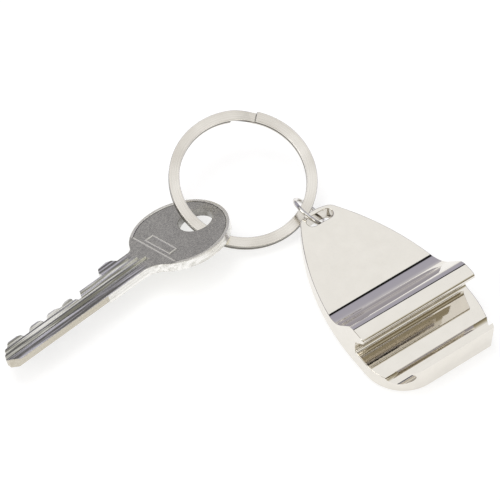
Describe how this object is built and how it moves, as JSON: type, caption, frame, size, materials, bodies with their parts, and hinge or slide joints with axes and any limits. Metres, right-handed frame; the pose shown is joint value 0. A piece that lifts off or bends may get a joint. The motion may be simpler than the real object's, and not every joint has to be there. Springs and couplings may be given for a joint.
{
  "type": "keychain bottle opener",
  "caption": "Sail-shaped cast metal bottle opener with a hooked crown-cap claw, linked by a jump ring to a split key ring holding a round-headed key.",
  "frame": {"origin": "centre line of the opener plate on its flat back face, 3.5 mm in from the ring end", "axes": "+Z out of the front face, towards the hook; +Y towards the ring end; +X across the plate"},
  "size_m": [0.0956, 0.0848, 0.0137],
  "materials": {
    "polished_nickel": "polished nickel plate over cast zinc, slightly warm, edges bright",
    "ring_wire": "bright nickel-plated round steel wire",
    "ring_band": "satin nickel-plated flat steel wire, faint lengthwise lines",
    "key_metal": "tumbled nickel silver, grainy faces, bright milled grooves and edges"
  },
  "bodies": {
    "opener": {"opener_body": "polished_nickel"},
    "jump_ring": {"jump_ring": "ring_wire"},
    "split_ring": {"split_ring": "ring_band"},
    "key": {"key": "key_metal"}
  },
  "joints": [
    {"name": "jump_ring_swing", "type": "hinge", "parent": "opener", "child": "jump_ring", "pos_m": [0, 0.00293, 0.002], "axis": [1, 0, 0], "range_deg": [-15, 50]},
    {"name": "split_ring_turn", "type": "hinge", "parent": "jump_ring", "child": "split_ring", "pos_m": [-0.00851, 0.01976, 0.00481], "axis": [-0.0623, -0.2616, 0.9632], "range_deg": [-195, 30]},
    {"name": "key_swing", "type": "hinge", "parent": "split_ring", "child": "key", "pos_m": [-0.0241, 0.01646, 0.00299], "axis": [-0.0397, 0.3684, 0.9288], "range_deg": [-60, 30]}
  ]
}
